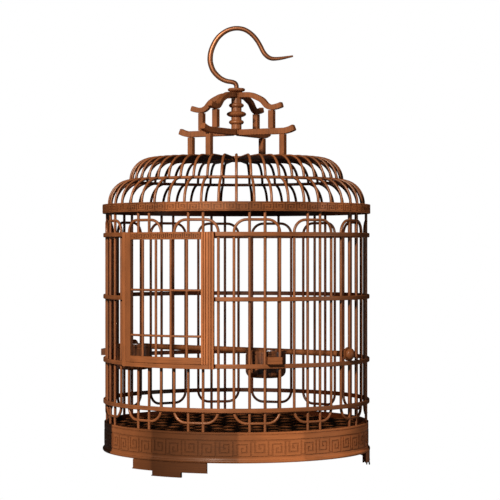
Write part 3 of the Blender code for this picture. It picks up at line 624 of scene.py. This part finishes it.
place(turned("eaves_turned", eaves_profile, 180), eaves_wood, "cage", "varnished_wood", "eaves_band")
eaves_fret_count = 72
eaves_fret_inset = 0.002
eaves_fret_half_width = 0.0008
eaves_fret = carve_fret(
    "eaves_fret", eaves_r, eaves_low.z + eaves_fret_inset, eaves_high.z - eaves_fret_inset, 0.0,
    eaves_fret_count, 360 / eaves_fret_count, eaves_sink + fret_root, eaves_fret_half_width,
)
place(eaves_fret, eaves_wood, "cage", "varnished_wood")

# Dome. Bamboo ribs bent by heat: the lower ones from the eaves in to a round hoop, the upper ones
# from that hoop up and flat across to the hub.
rib_count = 48
rib_r = 0.0017
lower_rib_r = bar_ring_r - 0.0028
lower_rib_reach, lower_rib_rise = 0.0276, 0.0292
shoulder_r = lower_rib_r - lower_rib_reach
dome_hoop_r = shoulder_r + 0.001
dome_hoop_rod_r = 0.0019
dome_hoop_z = eaves_high.z + seat_gap + lower_rib_rise
upper_rib_reach = 0.0275
upper_rib_r = dome_hoop_r - upper_rib_reach
dome_top = dome_hoop_z + upper_rib_reach
hub_r = 0.0295
hub_rub = 0.001
hub_low, hub_high = dome_top - 0.0025, dome_top + 0.0025
# Rib sides that face in towards a point on the axis are painted darker as shade.
rib_wood = varnished_wood(
    "rib_wood", "radial", stained(0.11, 0.225, 0.34), shine=0.38, heart=0.28, inside=0.12, gleam=0.6
)


def bent_ribs(name, section):
    """The same bent rib at every place round the dome."""
    azimuths = [360 * index / rib_count for index in range(rib_count)]
    return rod(name, [[polar(r, azimuth, z) for r, z in section] for azimuth in azimuths], rib_r, sides=3)


lower_section = []
for bend in bends(0, 90, 12):
    lift = (dome_hoop_z - eaves_high.z) * math.sin(bend)
    lower_section.append((shoulder_r + lower_rib_reach * math.cos(bend), eaves_high.z + hair + lift))
place(bent_ribs("lower_ribs_bent", lower_section), rib_wood, "cage", "varnished_wood", "dome_lower_ribs")
hoop_path = [polar(dome_hoop_r, 360 * index / 144, dome_hoop_z) for index in range(144)]
dome_hoop = rod("dome_hoop_bent", [hoop_path], dome_hoop_rod_r, closed=True)
place(dome_hoop, hoop_wood, "cage", "varnished_wood", "dome_lower_ribs")
upper_section = []
for bend in bends(4, 90, 12):
    lift = upper_rib_reach * math.sin(bend)
    upper_section.append((upper_rib_r + upper_rib_reach * math.cos(bend), dome_hoop_z + lift))
upper_section.append((hub_r - 0.002, dome_top))
place(bent_ribs("upper_ribs_bent", upper_section), rib_wood, "cage", "varnished_wood", "dome_upper_ribs")
hub_profile = [
    (0, hub_high), (hub_r - hub_rub, hub_high), (hub_r, hub_high - hub_rub), (hub_r, hub_low + hub_rub),
    (hub_r - hub_rub, hub_low), (0, hub_low),
]
place(turned("hub_turned", hub_profile, 64), hoop_wood, "cage", "varnished_wood", "dome_upper_ribs")

# Crown. Two pairs of crossed hardwood beams on square posts, one over the other, with turned-up
# tips. The posts are planed square and the beams sawn to a curve; all have rubbed edges.
crown_azimuths = (60.0, 150.0, 240.0, 330.0)
arm_half = 0.0033
arm_start_r, arm_tip_r = 0.0044, 0.065
arm_low_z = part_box("crown_post_upper_1")[1].z + seat_gap + arm_half
arm_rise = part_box("crown_arm_1")[1].z - arm_half - arm_low_z
arm_shares = (
    (0.0, 1.0), (0.25, 0.976), (0.4, 0.8), (0.54, 0.541), (0.645, 0.153), (0.752, 0.0), (0.883, 0.047),
    (1.0, 0.17),
)
beam_half, beam_half_width = 0.00375, 0.0035
beam_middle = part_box("crown_post_lower_1")[1].z + seat_gap + beam_half
beam_stops = ((0.0047, 0), (0.03, 0), (0.065, 0), (0.0702, 0.0003), (0.0763, 0.0017), (0.082, 0.004))
crown_wood = varnished_wood("crown_wood", "upright", stained(0.1, 0.21, 0.33), shine=0.36, gleam=0.5)


def eased(points, steps):
    """A smooth line through the points."""
    line = []
    for index in range(len(points) - 1):
        before = points[max(index - 1, 0)]
        here, ahead = points[index], points[index + 1]
        after = points[min(index + 2, len(points) - 1)]
        for step in range(steps):
            t = step / steps
            line.append(0.5 * (
                2 * here + (ahead - before) * t + (2 * before - 5 * here + 4 * ahead - after) * t ** 2
                + (3 * here - before - 3 * ahead + after) * t ** 3
            ))
    line.append(points[-1])
    return line


def sawn(name, line, half_height, half_width, azimuth):
    """A bar of square section with rubbed corners, sawn along a (radius, height) line."""
    shape = bmesh.new()
    rows = []
    across = polar(1, azimuth + 90)
    stops = [line[0]] + list(line) + [line[-1]]
    for index, here in enumerate(stops):
        at = min(max(index - 1, 0), len(line) - 1)
        way = (line[min(at + 1, len(line) - 1)] - line[max(at - 1, 0)]).normalized()
        up = Vector((-way.y, way.x))
        inset = rub if index in (0, len(stops) - 1) else 0.0
        if index == 1:
            here = here + way * rub
        if index == len(stops) - 2:
            here = here - way * rub
        high, wide = half_height - inset, half_width - inset
        corners = (
            (high, wide - rub), (high, rub - wide), (high - rub, -wide), (rub - high, -wide),
            (-high, rub - wide), (-high, wide - rub), (rub - high, wide), (high - rub, wide),
        )
        row = []
        for lift, side in corners:
            spot = here + up * lift
            row.append(shape.verts.new(polar(spot.x, azimuth, spot.y) + across * side))
        rows.append(row)
    skin(shape, rows)
    return finished(name, shape, 30)


def rubbed(node, finish):
    """Gives a piece of the CAD its finish and rubs its sharp edges round."""
    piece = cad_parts[node]
    piece.data.materials.clear()
    piece.data.materials.append(finish)
    edges = piece.modifiers.new("rubbed_edges", "BEVEL")
    edges.width = rub
    edges.segments = 2
    edges.limit_method = "ANGLE"
    edges.angle_limit = math.radians(35)
    edges.harden_normals = False


arm_span = arm_tip_r - arm_start_r
arm_points = [Vector((arm_start_r + arm_span * out, arm_low_z + arm_rise * up)) for out, up in arm_shares]
beam_points = [Vector((radius, beam_middle + lift)) for radius, lift in beam_stops]
for index, crown_azimuth in enumerate(crown_azimuths, 1):
    arm = sawn(f"sawn_arm_{index}", eased(arm_points, 5), arm_half, arm_half, crown_azimuth)
    place(arm, crown_wood, "cage", "varnished_wood", f"crown_arm_{index}")
    beam = sawn(f"sawn_beam_{index}", eased(beam_points, 4), beam_half, beam_half_width, crown_azimuth)
    place(beam, crown_wood, "cage", "varnished_wood", f"crown_beam_{index}")
    rubbed(f"crown_post_lower_{index}", crown_wood)
    rubbed(f"crown_post_upper_{index}", crown_wood)

# Finial. Turned in one piece of hardwood: a stem with three beads, a neck, and a flange under the
# hook. Its foot is glued in between the beams, and the arms meet it at the neck.
finial_low, finial_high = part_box("finial")
foot_r, neck_r, stem_r, flange_r = 0.0044, 0.0041, 0.0064, 0.0109
stem_low = finial_low.z + 0.0062
stem_length = 0.0389
stem_high = stem_low + stem_length
flange_low = stem_high + 0.0074
bore_r, bore_low = 0.0032, finial_high.z - 0.008
finial_profile = [
    (0, bore_low), (bore_r, bore_low), (bore_r, finial_high.z - 0.0004), (0.0036, finial_high.z),
    (flange_r - 0.0014, finial_high.z), (flange_r - 0.0004, finial_high.z - 0.0006),
    (flange_r, finial_high.z - 0.0018), (flange_r - 0.0006, finial_high.z - 0.0032),
    (flange_r - 0.003, flange_low + 0.0006), (flange_r - 0.0045, flange_low), (neck_r, flange_low - 0.0004),
    (neck_r, stem_high + 0.0012), (0.0052, stem_high + 0.0003), (stem_r, stem_high - 0.0004),
]
for share, proud, spread in ((0.764, 0.003, 0.0028), (0.485, 0.0059, 0.0036), (0.226, 0.003, 0.0028)):
    bead_z = stem_low + stem_length * share
    for bend in bends(0, 180, 8):
        swell = proud * max(0.0, math.sin(bend)) ** 1.4
        finial_profile.append((stem_r + swell, bead_z + spread * math.cos(bend)))
finial_profile += [
    (stem_r, stem_low + 0.0005), (stem_r - 0.0005, stem_low), (foot_r, stem_low - 0.0002),
    (foot_r, finial_low.z + 0.0004), (foot_r - 0.0004, finial_low.z), (0, finial_low.z),
]
place(turned("finial_turned", finial_profile, 48), crown_wood, "cage", "varnished_wood", "finial")

# Hook. One length of wire, bronzed brown, its shank standing in the finial and its end forged out
# to a point that turns up.
hook_r = 0.0338
hook_wire_r = 0.0029
hook_centre_z = finial_high.z + 0.0411
hook_shares = (
    (-0.033, -1.13), (-0.08, -1.03), (-0.20, -0.98), (-0.38, -0.95), (-0.574, -0.87), (-0.748, -0.733),
    (-0.896, -0.548), (-0.985, -0.30), (-1.0, -0.074), (-0.959, 0.174), (-0.848, 0.444), (-0.70, 0.67),
    (-0.50, 0.844), (-0.278, 0.956), (-0.03, 1.0), (0.219, 0.967), (0.419, 0.867), (0.593, 0.719),
    (0.741, 0.533), (0.863, 0.322), (0.963, 0.122), (1.089, -0.026), (1.237, -0.111), (1.411, -0.126),
    (1.659, -0.10), (1.856, -0.063), (2.056, -0.026),
)
hook_offset = -hook_r * hook_shares[0][0]
hook_points = [Vector((0, 0, finial_high.z - 0.0077)), Vector((0, 0, finial_high.z - 0.002))]
hook_points += [Vector((hook_offset + hook_r * x, 0, hook_centre_z + hook_r * z)) for x, z in hook_shares]
hook_line = eased(hook_points, 4)
left_swell = 0.2
point_thinning = 0.62
point_length = 22
hook_taper = [1 + left_swell * min(0.0, point.x / hook_r) ** 2 for point in hook_line[:-point_length]]
hook_taper += [1 - point_thinning * ((step + 1) / point_length) ** 1.5 for step in range(point_length)]


def bronzed(name):
    """Metal browned by heat and oil, rubbed bright in places."""
    finish, nodes = new_finish(name)
    patch = {"Vector": object_point(nodes), "Scale": 30.0, "Detail": 1.0}
    patches = added(nodes, "TexNoise", patch).outputs["Fac"]
    browns = ((0.35, (0.2, 0.065, 0.022)), (0.68, (0.34, 0.12, 0.045)))
    fed(nodes["Principled BSDF"], {
        "Base Color": ramped(nodes, patches, browns),
        "Roughness": ranged(nodes, patches, 0.0, 1.0, 0.45, 0.4),
        "Metallic": 0.7,
    })
    return finish


hook_wire = rod("hook_wire", [hook_line], hook_wire_r, taper=hook_taper)
place(hook_wire, bronzed("bronzed_hook"), "hook", "bronzed_metal", "hook")

# Door. A curved frame of stained bamboo that slides up in grooved posts: two stiles, a carved top
# rail, a plain bottom rail and a grille of round bars.
door_inner_r = eaves_r + 0.0007
door_r = door_inner_r + 0.0035
door_low, door_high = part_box("door_stile_left")
rail_low, rail_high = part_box("door_top_rail")
bottom_low, bottom_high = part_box("door_bottom_rail")
sill_low, sill_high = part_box("door_sill")
post_inner_r = hoop_outer_r + seat_gap
post_r = post_inner_r + 0.0055
tongue_inner_r, tongue_outer_r = door_inner_r + 0.0011, door_inner_r + 0.0024
groove_in, groove_out = tongue_inner_r - seat_gap, tongue_outer_r + seat_gap
score_depth, score_width = 0.001, 0.0013
stile_width, tongue_reach = 0.0083, 0.0017
post_clearance, groove_depth, post_width = 0.0005, 0.0022, 0.0063
# The left stile is painted darker as shade and the right one lighter as light. The scores, grooves, sunk
# faces and inner sides of the door's timbers are painted darker as shade.
stile_light_and_shade = ((door_azimuth, 0.76, 0.76), (180.0, 1.2, 1.2))
stile_wood = varnished_wood(
    "stile_wood", "upright", stained(0.24, 0.34, 0.44), staves=stile_light_and_shade, cut_shade=(door_r, 0.0009, 0.34)
)
post_wood = varnished_wood("post_wood", "upright", stained(0.2, 0.32, 0.42), cut_shade=(post_r, 0.0009, 0.34))
rail_wood = varnished_wood("rail_wood", "round", stained(0.13, 0.26, 0.37), cut_shade=(door_r, 0.0008, 0.4))
sill_wood = varnished_wood("sill_wood", "round", stained(0.13, 0.26, 0.37), cut_shade=(post_r, 0.0009, 0.34))


def door_turn(width):
    """The turn, in degrees, that a width takes up at the door's inner face."""
    return math.degrees(width / door_inner_r)


def scored_face(radius, start, end, lines):
    """Points across a timber's face from one turn to another, with V lines scored in it."""
    points = [(radius, start)]
    half = math.degrees(score_width / 2 / radius)
    for line in range(1, lines + 1):
        middle = start + (end - start) * line / (lines + 1)
        points += [(radius, middle - half), (radius - score_depth, middle), (radius, middle + half)]
    return points + [(radius, end)]


def planed(name, plan, side, bottom, top):
    """An upright timber with a plan of (radius, turn from the door's middle) points."""
    shape = bmesh.new()
    turns = [(radius, door_azimuth + side * turn) for radius, turn in plan]
    skin(shape, [[shape.verts.new(polar(*spot, height)) for spot in turns] for height in (bottom, top)])
    return finished(name, shape, 30)


stile_inner_turn = door_half_turn - door_turn(stile_width)
rail_half_turn = stile_inner_turn - 0.2
tongue_turn = door_half_turn + door_turn(tongue_reach)
post_near = door_half_turn + door_turn(post_clearance)
post_deep = post_near + door_turn(groove_depth)
post_far = post_near + door_turn(post_width)
stile_plan = scored_face(door_r, stile_inner_turn, door_half_turn, 2)
stile_plan += [
    (tongue_outer_r, door_half_turn), (tongue_outer_r, tongue_turn), (tongue_inner_r, tongue_turn),
    (tongue_inner_r, door_half_turn), (door_inner_r, door_half_turn), (door_inner_r, stile_inner_turn),
]
post_plan = scored_face(post_r, post_near + 0.12, post_far - 0.1, 1)
post_plan += [
    (post_r - 0.0005, post_far), (post_inner_r, post_far), (post_inner_r, post_near),
    (groove_in, post_near), (groove_in, post_deep), (groove_out, post_deep), (groove_out, post_near),
    (post_r - 0.0006, post_near),
]
for hand, side in (("left", -1), ("right", 1)):
    stile = planed(f"stile_planed_{hand}", stile_plan, side, door_low.z, door_high.z)
    place(stile, stile_wood, "door", "varnished_wood", f"door_stile_{hand}")
    post_low, post_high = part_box(f"door_post_{hand}")
    post = planed(f"post_planed_{hand}", post_plan, side, post_low.z, post_high.z)
    place(post, post_wood, "cage", "varnished_wood", f"door_post_{hand}")


def bent_rail(name, inner_r, radius, low, high, half_turn, sunk=0.0):
    """A rail bent as the door is, its face sunk for a carving or left plain."""
    section = [(radius - 0.0004, high), (radius, high - 0.0004)]
    if sunk:
        section += [
            (radius, high - 0.0012), (radius - sunk, high - 0.0013), (radius - sunk, low + 0.0013),
            (radius, low + 0.0012),
        ]
    section += [(radius, low + 0.0004), (radius - 0.0004, low), (inner_r, low), (inner_r, high)]
    shape = bmesh.new()
    bent_bar(shape, section, door_azimuth - half_turn, door_azimuth + half_turn, 24)
    return finished(name, shape)


rail_turn = rail_half_turn + 0.1
rail_sink = 0.0009
sill = bent_rail("sill_bent", post_inner_r, post_r, sill_low.z, sill_high.z, post_near - 0.1)
place(sill, sill_wood, "cage", "varnished_wood", "door_sill")
bottom_rail = bent_rail("bottom_rail_bent", door_inner_r, door_r, bottom_low.z, bottom_high.z, rail_turn)
place(bottom_rail, rail_wood, "door", "varnished_wood", "door_bottom_rail")
top_rail = bent_rail("top_rail_bent", door_inner_r, door_r, rail_low.z, rail_high.z, rail_turn, rail_sink)
place(top_rail, rail_wood, "door", "varnished_wood", "door_top_rail")
rail_frets = 9
rail_fret_inset = 0.0011
rail_fret_relief, rail_fret_half_width = 0.001, 0.0007
rail_fret = carve_fret(
    "rail_fret", door_r + hair, rail_low.z + rail_fret_inset, rail_high.z - rail_fret_inset,
    door_azimuth - rail_half_turn, rail_frets, 2 * rail_half_turn / rail_frets, rail_fret_relief,
    rail_fret_half_width,
)
place(rail_fret, rail_wood, "door", "varnished_wood")
grille_r = (door_inner_r + door_r) / 2
grille_bar_r, grille_cross_r = 0.0016, 0.0014
grille_ends = (bottom_high.z + hair, rail_low.z - hair)
grille_uprights = []
for share in (-0.507, -0.16, 0.196, 0.552):
    turn = door_azimuth + door_half_turn * share
    grille_uprights.append([polar(grille_r, turn, end) for end in grille_ends])
grille_bars = rod("door_grille_bars", grille_uprights, grille_bar_r)
place(grille_bars, bar_wood, "door", "varnished_wood", "door_grille")
grille_crosses = []
for share in (0.21, 0.558):
    cross_z = door_low.z + (door_high.z - door_low.z) * share
    turns = [door_azimuth + rail_half_turn * (2 * step / 16 - 1) for step in range(17)]
    grille_crosses.append([polar(grille_r, turn, cross_z) for turn in turns])
grille_cross = rod("door_grille_cross", grille_crosses, grille_cross_r)
place(grille_cross, hoop_wood, "door", "varnished_wood", "door_grille")

# Cups. Two thrown and glazed cups inside the bars, each held by a wooden clip that goes out through
# the bars and over the hoop.
cup_r = 0.0237
cup_wall = 0.0025
cup_corner = 0.008
cup_neck = 0.0006
cup_to_bars = 0.0033
cup_centre_r = bar_ring_r - bar_r - cup_to_bars - cup_r
cup_azimuths = {"feed_cup": 15.071, "water_cup": -100.643}


def dark_glaze(name):
    """Brown-black glaze with upright red-brown streaks, painted in for streaks of reflected light."""
    finish, nodes = new_finish(name)
    # The upright streaks in the glaze's colour are a painted reflection.
    streak_stretch = added(nodes, "Mapping", {"Vector": object_point(nodes), "Scale": (260, 260, 22)})
    run = added(nodes, "TexNoise", {"Vector": streak_stretch.outputs["Vector"], "Scale": 1.0, "Detail": 4.0})
    browns = ((0.4, (0.03, 0.01, 0.004)), (0.7, (0.25, 0.08, 0.027)))
    glaze = ramped(nodes, run.outputs["Fac"], browns)
    fed(nodes["Principled BSDF"], {"Base Color": glaze, "Roughness": 0.3, "Coat Weight": 0.25})
    return finish


cup_glaze = dark_glaze("cup_glaze")
for cup, cup_azimuth in cup_azimuths.items():
    low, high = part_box(cup)
    inner_r, inner_corner = cup_r - cup_wall, cup_corner - cup_wall
    section = [(0, low.z + cup_wall)]
    for bend in bends(0, 90, 8):
        rise = inner_corner * (1 - math.cos(bend))
        section.append((inner_r - inner_corner * (1 - math.sin(bend)), low.z + cup_wall + rise))
    section += [
        (inner_r, high.z - 0.001), (inner_r + 0.0006, high.z - 0.0002), (cup_r - 0.0008, high.z),
        (cup_r, high.z - 0.0008), (cup_r, high.z - 0.0032), (cup_r - cup_neck, high.z - 0.0036),
        (cup_r - cup_neck, high.z - 0.0044), (cup_r, high.z - 0.0048),
    ]
    for bend in bends(90, 0, 8):
        rise = cup_corner * (1 - math.cos(bend))
        section.append((cup_r - cup_corner * (1 - math.sin(bend)), low.z + rise))
    section.append((0, low.z))
    bowl = turned(f"{cup}_bowl", section, 64)
    bowl.location = polar(cup_centre_r, cup_azimuth)
    place(bowl, cup_glaze, cup, "dark_glaze", cup)
    rubbed(f"{cup}_clip", hoop_wood)

# Perch. A turned rod through the cage, with a disc and a ball at each end outside the bars. One end
# is a knob of its own, pushed on after the rod is through.
perch_azimuth = 53.643
perch_low, perch_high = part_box("perch_end_knob")
perch_z = (perch_low.z + perch_high.z) / 2
perch_r = 0.0036
perch_ripple = 0.00012
perch_steps = 40
disc_gap = 0.0006
perch_end_r = bar_ring_r + bar_r + disc_gap
ball_r, ball_neck_r, disc_r = 0.007, 0.0055, 0.0082
ball_deep = ball_r * 0.65
disc_out = perch_end_r + 0.002
neck_out = disc_out + 0.0002
ball_lean = math.asin(ball_neck_r / ball_r)
ball_middle = neck_out + ball_deep * math.cos(ball_lean)
perch_wood = varnished_wood("perch_wood", "radial", stained(0.09, 0.19, 0.31), shine=0.3)
knob_section = [
    (disc_r - 0.0008, perch_end_r), (disc_r, perch_end_r + 0.0006), (disc_r, disc_out - 0.0006),
    (disc_r - 0.0008, disc_out), (ball_neck_r, disc_out),
]
for bend in bends(180 - math.degrees(ball_lean), 0, 14)[:-1]:
    knob_section.append((ball_r * math.sin(bend), ball_middle + ball_deep * math.cos(bend)))
knob_section.append((0, ball_middle + ball_deep))
perch_section = [(0, seat_gap - perch_end_r), (perch_r, seat_gap - perch_end_r)]
for step in range(1, perch_steps):
    ripple = perch_ripple * abs(math.sin(step * 0.9))
    perch_section.append((perch_r - ripple, -perch_end_r + 2 * perch_end_r * step / perch_steps))
perch_section += [(perch_r, perch_end_r)] + knob_section


def lay_along(piece, azimuth):
    """Lays a turned piece out along a radius at the perch's height."""
    piece.rotation_mode = "QUATERNION"
    piece.rotation_quaternion = polar(1, azimuth).to_track_quat("Z", "Y")
    piece.location = (0, 0, perch_z)


perch = turned("perch_turned", perch_section, 32)
lay_along(perch, perch_azimuth)
place(perch, perch_wood, "cage", "varnished_wood", "perch_rod")
knob = turned("perch_knob_turned", [(0, perch_end_r)] + knob_section, 32)
lay_along(knob, perch_azimuth + 180)
place(knob, perch_wood, "cage", "varnished_wood", "perch_end_knob")

# Studio. A floor and air that are white to the camera and dim to the cage. A strong key stands high
# at the front left, with weak lights at both sides and one behind that leaves no glare.
seen_strength = 1.0
air_strength = 0.01
floor_grey = 0.12
eye_distance, eye_height = 2.298, 0.2625
floor_half, floor_drop = 6, 0.0005
camera_data = bpy.data.cameras.new("camera")
camera_data.sensor_width = 36
camera_data.lens = 132.75
camera_data.shift_x = 0.0272
camera_data.shift_y = 0.0044
camera = bpy.data.objects.new("camera", camera_data)
camera.location = (0, -eye_distance, eye_height)
camera.rotation_euler = (math.radians(90), 0, 0)
bpy.context.scene.collection.objects.link(camera)
bpy.context.scene.camera = camera


def soft_light(name, spot, aim, size, power, glare=True):
    """A square soft light that looks at a point, with or without its glare on varnish."""
    lamp = bpy.data.lights.new(name, "AREA")
    lamp.size = size
    lamp.energy = power
    holder = bpy.data.objects.new(name, lamp)
    holder.location = spot
    holder.rotation_euler = (Vector(aim) - Vector(spot)).to_track_quat("-Z", "Y").to_euler()
    holder.visible_glossy = glare
    bpy.context.scene.collection.objects.link(holder)


soft_light("key_light", (-0.7, -2.1, 1.25), (0, 0, 0.25), 0.2, 72)
soft_light("right_light", (2.3, -0.6, 0.3), (0, 0, 0.15), 0.4, 5)
soft_light("left_light", (-2.2, -0.7, 0.7), (0, 0, 0.25), 0.5, 3)
soft_light("back_light", (-0.9, 2.1, 0.6), (0, 0, 0.3), 0.6, 14, glare=False)


def seen_white(nodes, surface, dim, white):
    """Shows the white shader to the eye and the dim one to everything else."""
    eye = added(nodes, "LightPath", {}).outputs["Is Camera Ray"]
    mix = added(nodes, "MixShader", {"Fac": eye, 1: dim.outputs[0], 2: white.outputs[0]})
    fed(surface, {"Surface": mix.outputs["Shader"]})


studio_white, nodes = new_finish("studio_white")
nodes.clear()
dim_floor = added(nodes, "BsdfDiffuse", {"Color": (floor_grey, floor_grey, floor_grey, 1)})
white_floor = added(nodes, "Emission", {"Strength": seen_strength})
seen_white(nodes, added(nodes, "OutputMaterial", {}), dim_floor, white_floor)
floor_corners = [
    (floor_half * x, floor_half * y, -floor_drop) for x, y in ((-1, -1), (1, -1), (1, 1), (-1, 1))
]
floor_mesh = bpy.data.meshes.new("studio_floor")
floor_mesh.from_pydata(floor_corners, [], [(0, 1, 2, 3)])
floor_mesh.materials.append(studio_white)
studio_floor = bpy.data.objects.new("studio_floor", floor_mesh)
bpy.context.scene.collection.objects.link(studio_floor)

bpy.context.scene.view_settings.view_transform = "Standard"
world = bpy.data.worlds.new("studio_air")
world.use_nodes = True
bpy.context.scene.world = world
air = world.node_tree.nodes
fed(air["Background"], {"Color": (1, 1, 1, 1), "Strength": air_strength})
white_air = added(air, "Background", {"Color": (1, 1, 1, 1), "Strength": seen_strength})
seen_white(air, air["World Output"], air["Background"], white_air)
